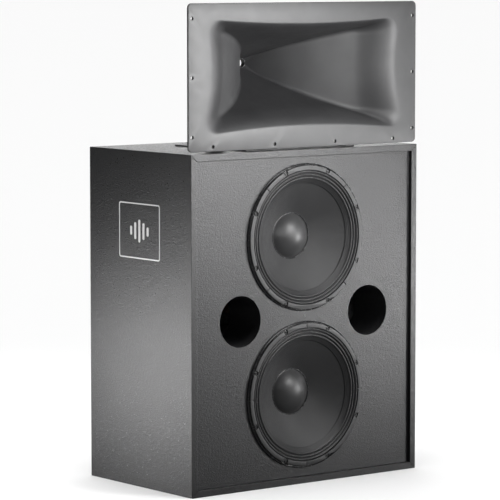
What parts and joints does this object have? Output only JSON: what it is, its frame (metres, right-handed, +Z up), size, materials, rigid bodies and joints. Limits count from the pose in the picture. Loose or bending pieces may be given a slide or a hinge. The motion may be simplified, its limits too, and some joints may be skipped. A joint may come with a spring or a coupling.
{
  "type": "pa speaker cabinet",
  "caption": "Free-standing public-address loudspeaker: a ported black bass cabinet with cone woofers and a wide horn on a tilting bracket on its top.",
  "frame": {"origin": "middle of the underside, on the floor", "axes": "+Z up, -Y out of the front, +X to the right of someone facing the front"},
  "size_m": [0.7616, 0.444, 1.2593],
  "materials": {
    "cabinet_paint": "textured black paint on plywood",
    "bare_wood": "raw softwood",
    "horn_plastic": "satin moulded, dark grey",
    "steel_paint": "black powder coat",
    "cast_frame": "black-coated die casting",
    "plain_steel": "zinc-plated",
    "ferrite": "dark ground ferrite",
    "cone_paper": "ribbed and coated paper",
    "surround_cloth": "doped woven cloth",
    "gasket_card": "pressed fibre, dusty black",
    "lining_felt": "grey wadding",
    "black_plastic": "fine matt",
    "red_plastic": "gloss",
    "brass": "gilt",
    "copper": "enamelled copper wire",
    "cable_jacket": "flexible insulation",
    "circuit_board": "solder mask",
    "badge_print": "white print on a black film"
  },
  "bodies": {
    "cabinet": {"left_side_panel": "cabinet_paint", "right_side_panel": "cabinet_paint", "top_panel": "cabinet_paint", "bottom_panel": "cabinet_paint", "rear_panel": "cabinet_paint", "front_baffle": "cabinet_paint", "centre_brace": "bare_wood", "brace_screw": "steel_paint", "lining_left": "lining_felt", "lining_right": "lining_felt", "lining_rear": "lining_felt", "port_tube_left": "black_plastic", "port_tube_right": "black_plastic", "side_badge": "badge_print", "upper_basket": "cast_frame", "upper_gasket": "gasket_card", "upper_surround": "surround_cloth", "upper_spider": "surround_cloth", "upper_top_plate": "plain_steel", "upper_magnet": "ferrite", "upper_yoke": "plain_steel", "upper_terminal": "black_plastic", "lower_basket": "cast_frame", "lower_gasket": "gasket_card", "lower_surround": "surround_cloth", "lower_spider": "surround_cloth", "lower_top_plate": "plain_steel", "lower_magnet": "ferrite", "lower_yoke": "plain_steel", "lower_terminal": "black_plastic", "input_cup": "black_plastic", "red_post": "brass", "black_post": "brass", "network_board": "circuit_board", "inductor": "copper", "capacitor": "black_plastic", "upper_lead": "cable_jacket", "lower_lead": "cable_jacket", "red_input_wire": "red_plastic", "black_input_wire": "cable_jacket", "bracket_base": "steel_paint", "left_stay": "steel_paint", "right_stay": "steel_paint", "left_pivot_pin": "plain_steel", "right_pivot_pin": "plain_steel"},
    "upper_cone_assembly": {"upper_cone": "cone_paper", "upper_dust_cap": "cone_paper", "upper_voice_coil": "copper"},
    "lower_cone_assembly": {"lower_cone": "cone_paper", "lower_dust_cap": "cone_paper", "lower_voice_coil": "copper"},
    "horn": {"horn_bell": "horn_plastic", "throat_plate": "plain_steel", "left_lug": "steel_paint", "right_lug": "steel_paint"},
    "left_knob": {"left_tilt_knob": "black_plastic"},
    "right_knob": {"right_tilt_knob": "black_plastic"},
    "red_terminal_cap": {"red_cap": "red_plastic"},
    "black_terminal_cap": {"black_cap": "black_plastic"}
  },
  "joints": [
    {"name": "horn_tilt", "type": "hinge", "parent": "cabinet", "child": "horn", "pos_m": [0, -0.18, 0.905], "axis": [1, 0, 0], "range_deg": [-5, 8]},
    {"name": "upper_cone_travel", "type": "slide", "parent": "cabinet", "child": "upper_cone_assembly", "axis": [0, 1, 0], "range_m": [-0.008, 0.008], "stiffness_N_per_m": 6000, "deforming": ["upper_surround", "upper_spider"]},
    {"name": "lower_cone_travel", "type": "slide", "parent": "cabinet", "child": "lower_cone_assembly", "axis": [0, 1, 0], "range_m": [-0.008, 0.008], "stiffness_N_per_m": 6000, "deforming": ["lower_surround", "lower_spider"]},
    {"name": "left_knob_turn", "type": "hinge", "parent": "horn", "child": "left_knob", "pos_m": [-0.09, 0.0648, 1.06], "axis": [-1, 0, 0], "range_deg": [0, 360]},
    {"name": "right_knob_turn", "type": "hinge", "parent": "horn", "child": "right_knob", "pos_m": [0.09, 0.0648, 1.06], "axis": [1, 0, 0], "range_deg": [0, 360]},
    {"name": "red_cap_turn", "type": "hinge", "parent": "cabinet", "child": "red_terminal_cap", "pos_m": [0.0095, 0.208, 0.31], "axis": [0, 1, 0], "range_deg": [0, 720]},
    {"name": "black_cap_turn", "type": "hinge", "parent": "cabinet", "child": "black_terminal_cap", "pos_m": [-0.0095, 0.208, 0.31], "axis": [0, 1, 0], "range_deg": [0, 720]}
  ]
}
